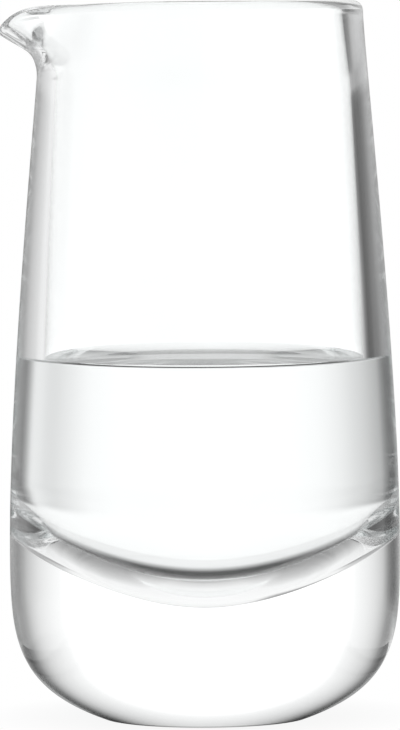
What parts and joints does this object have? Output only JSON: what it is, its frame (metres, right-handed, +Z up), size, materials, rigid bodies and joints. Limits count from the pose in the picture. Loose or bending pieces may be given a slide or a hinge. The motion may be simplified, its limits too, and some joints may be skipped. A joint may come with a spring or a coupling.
{
  "type": "carafe",
  "caption": "Clear blown glass carafe with a tapered wall, thick rounded base, round inner floor and pulled pouring lip, half filled with water.",
  "frame": {"origin": "centre of the flat foot, on the surface that the carafe stands on", "axes": "+Z up along the axis of the body; the pouring lip points along -X; the XZ plane is the plane of symmetry"},
  "size_m": [0.0797, 0.078, 0.143],
  "materials": {
    "clear_glass": "polished",
    "clear_water": "gloss"
  },
  "bodies": {
    "root": {"glass_body": "clear_glass", "water_fill": "clear_water"}
  },
  "joints": []
}
